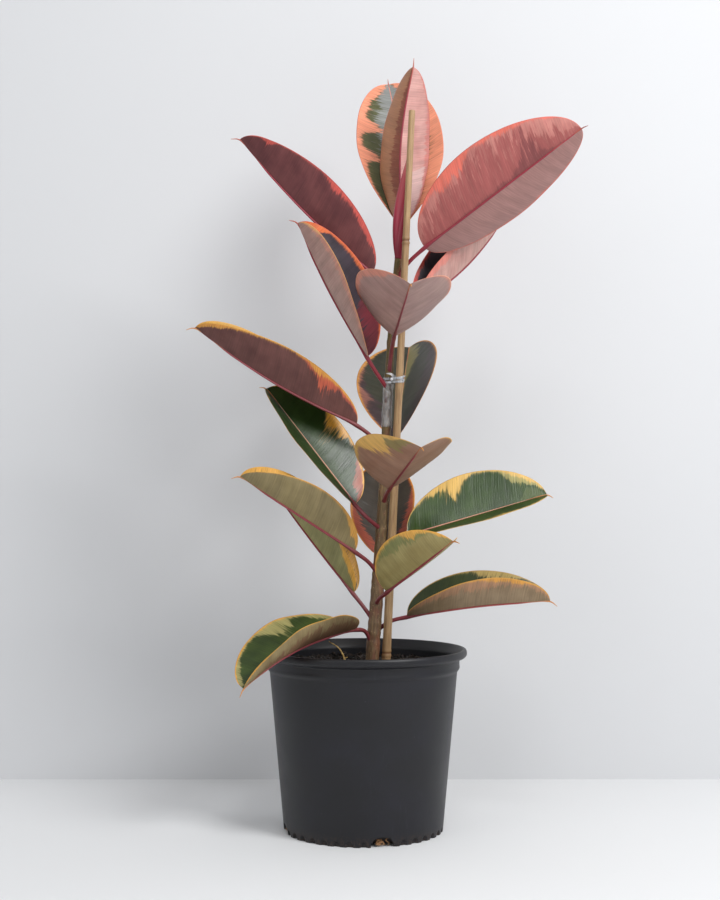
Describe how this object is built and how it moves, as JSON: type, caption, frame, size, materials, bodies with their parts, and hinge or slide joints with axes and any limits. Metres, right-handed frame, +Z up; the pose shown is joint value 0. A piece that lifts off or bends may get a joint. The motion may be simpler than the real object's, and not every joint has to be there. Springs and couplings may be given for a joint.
{
  "type": "potted rubber plant",
  "caption": "Variegated rubber plant: an upright stem tied to a bamboo stake carries large folded oval leaves above a tapered plastic nursery pot.",
  "frame": {"origin": "centre of the underside of the pot, on the ground", "axes": "+Z up along the pot's axis; -Y towards the side the plant is mainly seen from; +X to that viewer's right"},
  "size_m": [0.5279, 0.3603, 1.0591],
  "materials": {
    "pot_plastic": "satin charcoal, slightly scuffed",
    "soil": "loose dark potting mix of composted bark, matt",
    "stem_bark": "young brown bark, olive near the top",
    "bamboo": "dry straw-coloured cane, satin",
    "sheath": "crimson, satin",
    "dry_wood": "dry, matt",
    "clear_tape": "clear stretch film, glossy",
    "leaf_young": "leathery leaf, rose and coral with olive marks, satin",
    "leaf_middle": "leathery leaf, mauve-brown below, dark with orange margin above, glossy",
    "leaf_mature": "leathery leaf, khaki below, deep green with amber margin above, glossy"
  },
  "bodies": {
    "root": {"nursery_pot": "pot_plastic", "potting_soil": "soil", "stem": "stem_bark", "bamboo_stake": "bamboo", "bud_sheath": "sheath", "dry_twig": "dry_wood", "tie_tape": "clear_tape", "leaf_top_front": "leaf_young", "leaf_top_back": "leaf_young", "leaf_upper_left": "leaf_young", "leaf_upper_right": "leaf_young", "leaf_left_folded": "leaf_middle", "leaf_right_back": "leaf_middle", "leaf_front_cup": "leaf_middle", "leaf_left_long": "leaf_middle", "leaf_back_middle": "leaf_middle", "leaf_left_green": "leaf_mature", "leaf_front_middle": "leaf_middle", "leaf_back_lower": "leaf_middle", "leaf_right_green": "leaf_mature", "leaf_left_grey": "leaf_mature", "leaf_left_behind": "leaf_mature", "leaf_front_low": "leaf_mature", "leaf_right_low": "leaf_mature", "leaf_left_drooping": "leaf_mature"}
  },
  "joints": []
}
